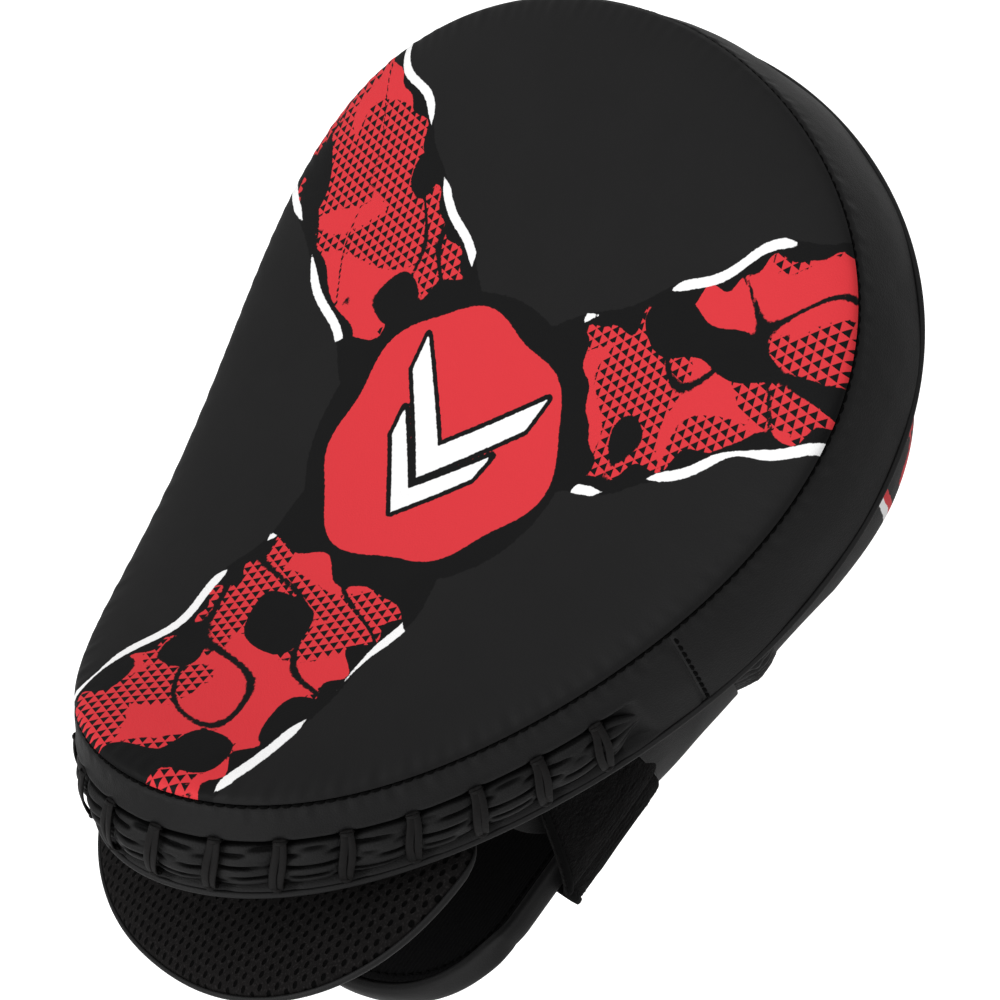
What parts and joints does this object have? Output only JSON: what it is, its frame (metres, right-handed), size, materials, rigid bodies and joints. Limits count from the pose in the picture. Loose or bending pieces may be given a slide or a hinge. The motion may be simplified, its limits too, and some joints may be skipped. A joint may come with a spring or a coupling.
{
  "type": "curved boxing focus mitt",
  "caption": "Curved pear-shaped striking pad with a laced wrist edge, a padded hand compartment behind, a mesh tongue, a wrist cuff and a peel-open strap.",
  "frame": {"origin": "a point on the flat back of the hand compartment, under the middle of the striking face", "axes": "+Z out of the striking face, +Y towards the wide finger end, -Y towards the laced wrist end, +X to the side where the strap closes"},
  "size_m": [0.2254, 0.3054, 0.1387],
  "materials": {
    "printed_leather": "smooth black synthetic leather with a red, white and black printed band",
    "black_leather": "smooth black synthetic leather, soft sheen",
    "gathered_leather": "thin black synthetic leather, gathered into fine folds",
    "lace_cord": "flat black lace",
    "piping": "narrow black binding, slightly glossier than the panels",
    "mesh_fabric": "black warp-knit spacer mesh with staggered slots",
    "lining_fabric": "matt black ribbed lining",
    "loop_fabric": "brushed black loop pile",
    "hook_tape": "black hook tape",
    "foam": "closed-cell foam",
    "gel": "soft gel sheet"
  },
  "bodies": {
    "root": {"face_cover": "printed_leather", "face_foam": "foam", "gel_sheet": "gel", "core_foam": "foam", "base_foam": "foam", "back_panel": "black_leather", "gusset_narrow": "black_leather", "gusset_wide": "black_leather", "lacing_strip": "gathered_leather", "wrist_lace": "lace_cord", "rim_piping": "piping", "hood_shell": "printed_leather", "hood_padding": "foam", "hood_lining": "lining_fabric", "side_wall_right": "black_leather", "side_wall_left": "black_leather", "elastic_right": "gathered_leather", "elastic_left": "gathered_leather", "palm_ball_cover": "black_leather", "palm_ball_foam": "foam", "wrist_pad": "mesh_fabric", "side_tab_right": "black_leather", "side_tab_left": "black_leather", "hook_patch": "hook_tape"},
    "tongue": {"tongue_cover": "mesh_fabric", "tongue_foam": "foam", "tongue_piping": "piping"},
    "cuff": {"cuff_shell": "black_leather", "cuff_foam": "foam", "cuff_lining": "lining_fabric", "cuff_binding": "piping", "strap_root": "loop_fabric"},
    "strap": {"strap_run": "loop_fabric"},
    "strap_tip": {"strap_end": "loop_fabric", "pull_tab": "black_leather"}
  },
  "joints": [
    {"name": "tongue_flex", "type": "hinge", "parent": "root", "child": "tongue", "pos_m": [0, -0.0845, 0.06922], "axis": [1, 0, 0], "range_deg": [-6, 18], "stiffness_Nm_per_rad": 1},
    {"name": "cuff_open", "type": "hinge", "parent": "root", "child": "cuff", "pos_m": [0, -0.0385, 0.0078], "axis": [1, 0, 0], "range_deg": [0, 30], "stiffness_Nm_per_rad": 3},
    {"name": "strap_peel", "type": "hinge", "parent": "cuff", "child": "strap", "pos_m": [-0.024, -0.062, 0.0052], "axis": [0, 1, 0], "range_deg": [0, 100], "stiffness_Nm_per_rad": 0.4},
    {"name": "strap_tip_peel", "type": "hinge", "parent": "strap", "child": "strap_tip", "pos_m": [0.05735, -0.062, 0.01035], "axis": [0, 1, 0], "range_deg": [0, 80], "stiffness_Nm_per_rad": 0.2}
  ]
}
